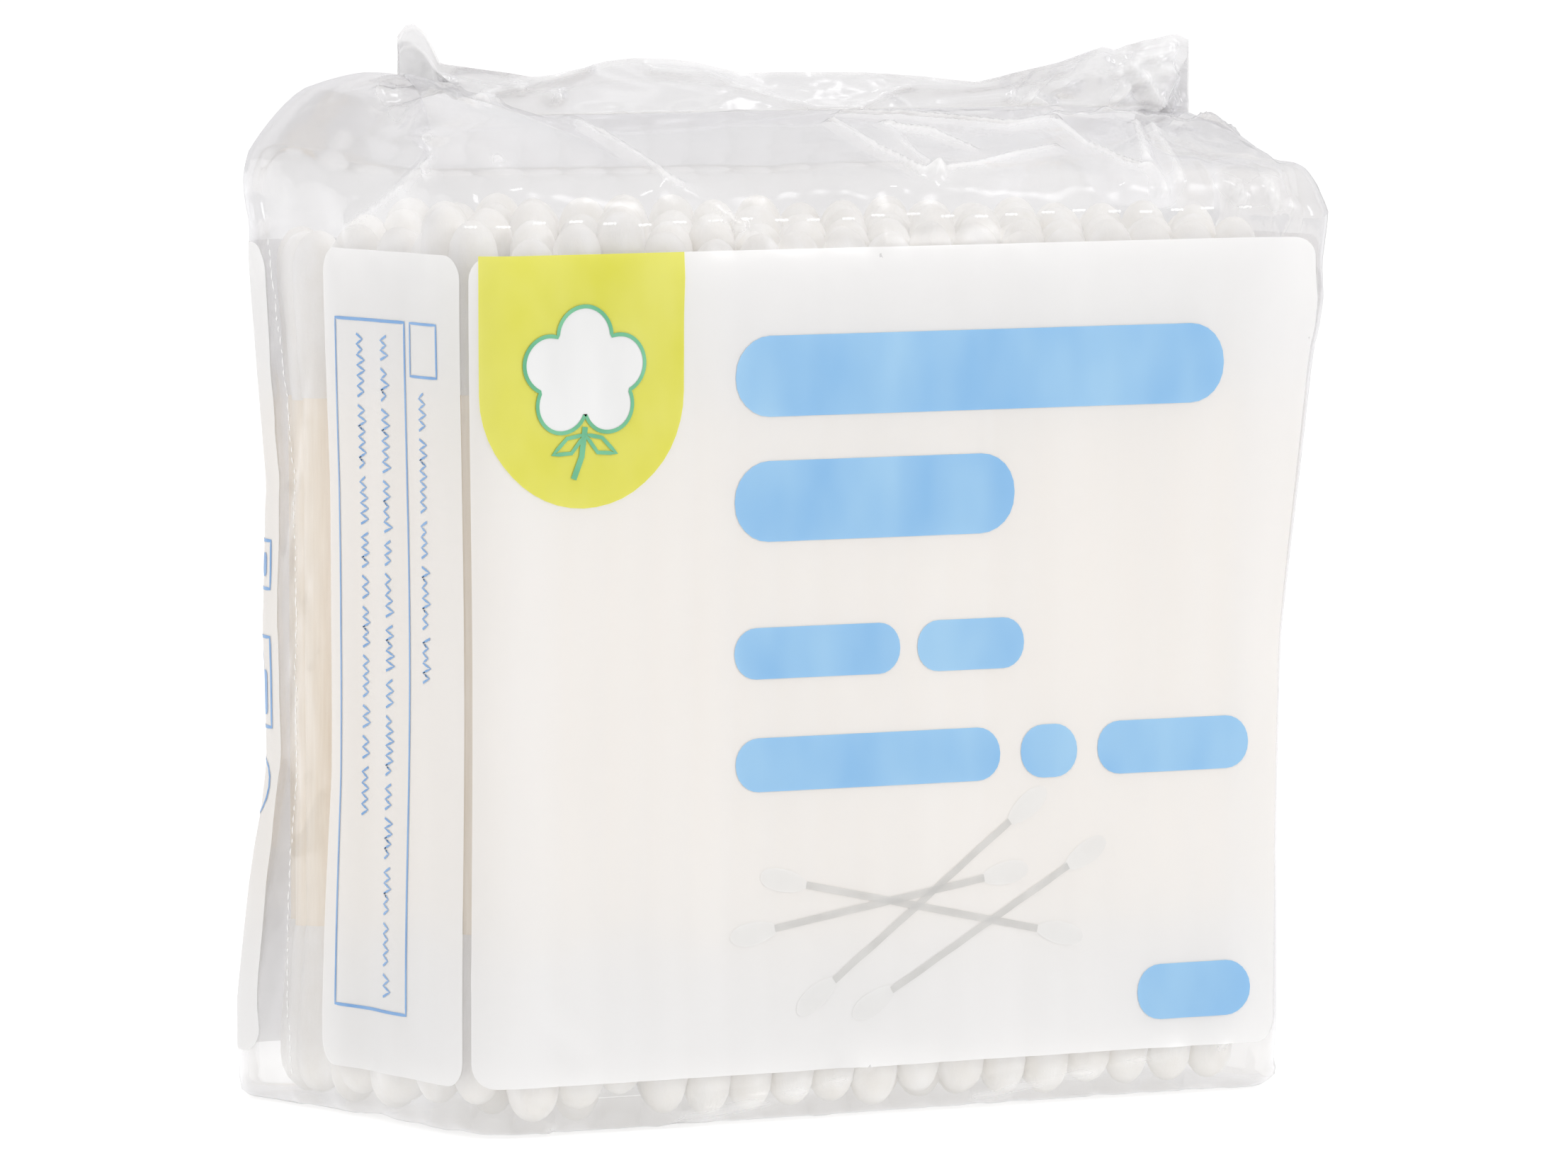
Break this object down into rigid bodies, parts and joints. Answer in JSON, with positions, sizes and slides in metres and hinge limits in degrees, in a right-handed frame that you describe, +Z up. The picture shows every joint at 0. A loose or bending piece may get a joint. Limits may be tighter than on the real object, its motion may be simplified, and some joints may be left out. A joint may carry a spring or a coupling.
{
  "type": "cotton swab pack",
  "caption": "Sealed clear film pack of upright cotton swabs, with a gable-like top, a standing seal fin and plain printed panels.",
  "frame": {"origin": "middle of the underside of the pack", "axes": "+Z up along the swabs, +X to the right along the front, +Y from the front to the back"},
  "size_m": [0.0805, 0.0419, 0.0895],
  "materials": {
    "clear_film": "thin clear packing film",
    "cotton": "wound cotton",
    "paper_stick": "rolled paper",
    "white_print": "white ink on film",
    "green_print": "yellow-green ink on film",
    "blue_print": "light blue ink on film"
  },
  "bodies": {
    "root": {"film_bag": "clear_film", "sticks_row_01": "paper_stick", "top_heads_row_01": "cotton", "bottom_heads_row_01": "cotton", "sticks_row_02": "paper_stick", "top_heads_row_02": "cotton", "bottom_heads_row_02": "cotton", "sticks_row_03": "paper_stick", "top_heads_row_03": "cotton", "bottom_heads_row_03": "cotton", "sticks_row_04": "paper_stick", "top_heads_row_04": "cotton", "bottom_heads_row_04": "cotton", "sticks_row_05": "paper_stick", "top_heads_row_05": "cotton", "bottom_heads_row_05": "cotton", "sticks_row_06": "paper_stick", "top_heads_row_06": "cotton", "bottom_heads_row_06": "cotton", "sticks_row_07": "paper_stick", "top_heads_row_07": "cotton", "bottom_heads_row_07": "cotton", "sticks_row_08": "paper_stick", "top_heads_row_08": "cotton", "bottom_heads_row_08": "cotton", "sticks_row_09": "paper_stick", "top_heads_row_09": "cotton", "bottom_heads_row_09": "cotton", "sticks_row_10": "paper_stick", "top_heads_row_10": "cotton", "bottom_heads_row_10": "cotton", "sticks_row_11": "paper_stick", "top_heads_row_11": "cotton", "bottom_heads_row_11": "cotton", "front_print": "white_print", "back_print": "white_print", "left_print": "white_print", "right_print": "white_print", "front_tab": "green_print", "name_bars": "blue_print"}
  },
  "joints": []
}
